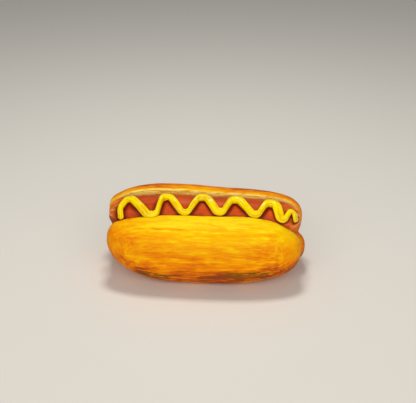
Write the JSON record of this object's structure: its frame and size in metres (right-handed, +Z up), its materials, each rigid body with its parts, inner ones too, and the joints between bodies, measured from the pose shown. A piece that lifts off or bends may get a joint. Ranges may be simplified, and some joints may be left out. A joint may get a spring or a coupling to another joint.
{
  "type": "hot dog",
  "caption": "Hot dog lying on its base: a soft split bun holding a smoked sausage topped with a wavy line of mustard.",
  "frame": {"origin": "on the flat of the bun's base, under the sausage's axis", "axes": "+X along the sausage, +Y towards the bun's taller back half, +Z up"},
  "size_m": [0.1533, 0.0825, 0.0623],
  "materials": {
    "bun": "soft golden-brown bread crust with a faint sheen",
    "sausage": "smooth, glossy red-brown sausage skin",
    "mustard": "glossy yellow mustard"
  },
  "bodies": {
    "root": {"bun": "bun", "sausage": "sausage", "mustard": "mustard"}
  },
  "joints": []
}
